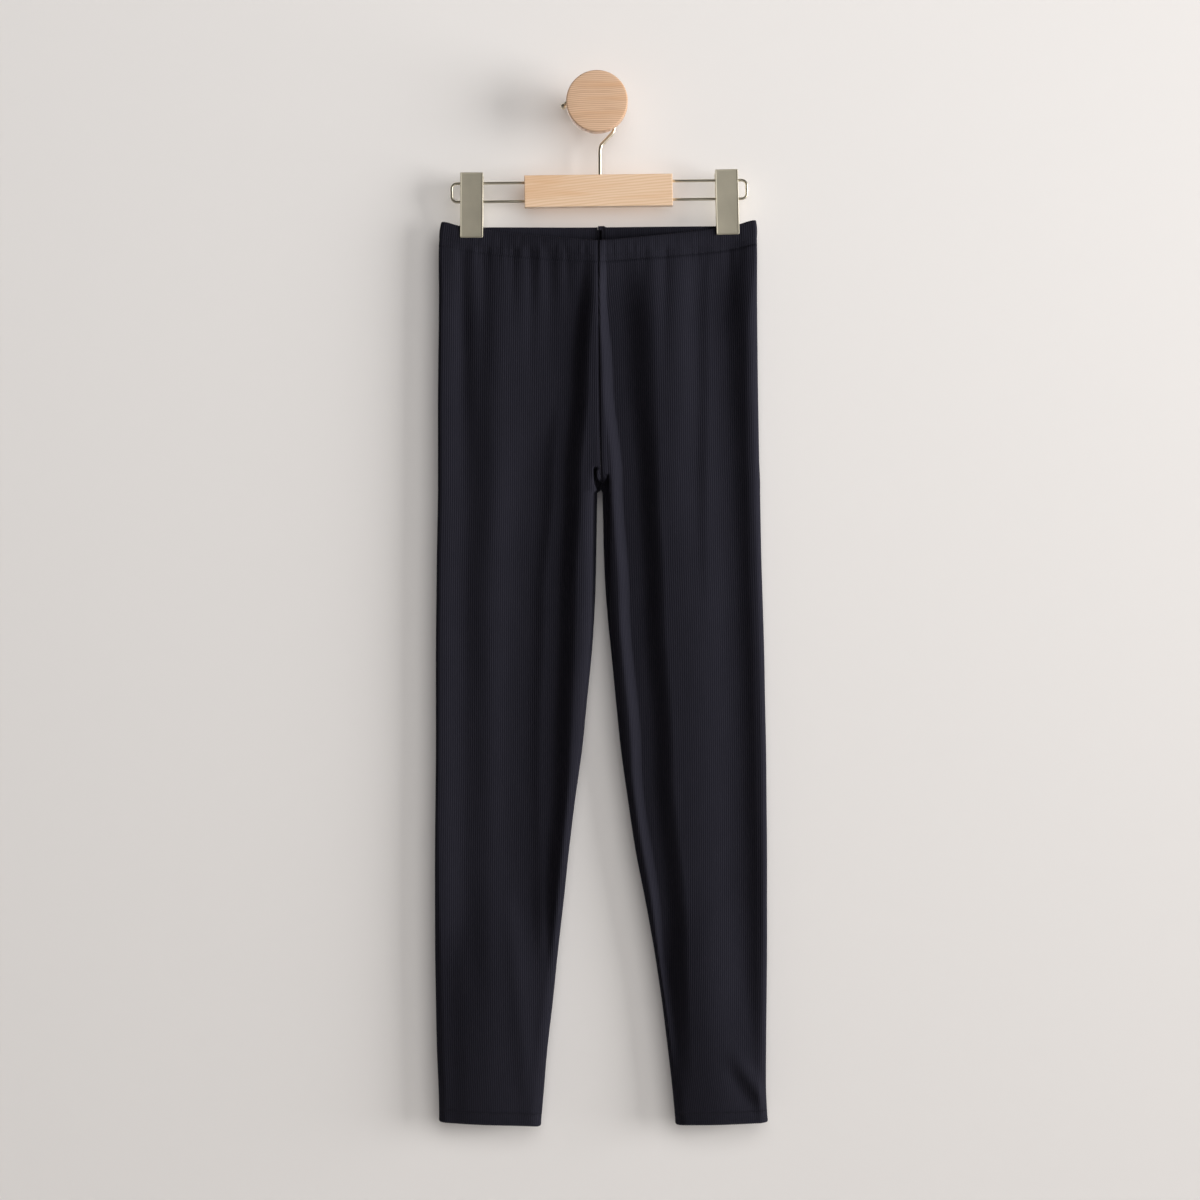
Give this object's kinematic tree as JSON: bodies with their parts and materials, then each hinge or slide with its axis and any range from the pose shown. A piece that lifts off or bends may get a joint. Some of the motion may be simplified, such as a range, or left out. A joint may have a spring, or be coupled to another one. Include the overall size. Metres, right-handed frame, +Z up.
{
  "type": "leggings on a clip hanger and wall peg",
  "caption": "Rib-knit leggings with an elastic waist casing, hung flat by the waist from a wood and wire clip hanger on a round wooden wall peg.",
  "frame": {"origin": "centre of the wall peg's flat back face, on the wall plane", "axes": "+X to the right as seen from the front, +Y into the wall, +Z up; the garment's front looks along -Y"},
  "size_m": [0.3542, 0.058, 1.1187],
  "materials": {
    "rib_knit": "matte vertical rib knit, blue-charcoal",
    "seam_thread": "overlocked thread on knit, matte",
    "peg_wood": "smooth pale wood, oiled",
    "bar_wood": "smooth pale wood, unvarnished",
    "satin_nickel": "satin nickel plate"
  },
  "bodies": {
    "root": {"leg_left": "rib_knit", "leg_right": "rib_knit", "waistband_left": "rib_knit", "waistband_right": "rib_knit", "hem_left": "rib_knit", "hem_right": "rib_knit", "centre_seam_front": "seam_thread", "centre_seam_back": "seam_thread", "casing_seam_front": "seam_thread", "casing_seam_back": "seam_thread", "peg_disc": "peg_wood", "peg_stem": "peg_wood", "hanger_bar": "bar_wood", "hanger_loop_left": "satin_nickel", "hanger_loop_right": "satin_nickel", "hanger_hook": "satin_nickel", "clip_left_front": "satin_nickel", "clip_left_back": "satin_nickel", "clip_left_pin": "satin_nickel", "clip_left_spring": "satin_nickel", "clip_right_front": "satin_nickel", "clip_right_back": "satin_nickel", "clip_right_pin": "satin_nickel", "clip_right_spring": "satin_nickel"}
  },
  "joints": []
}
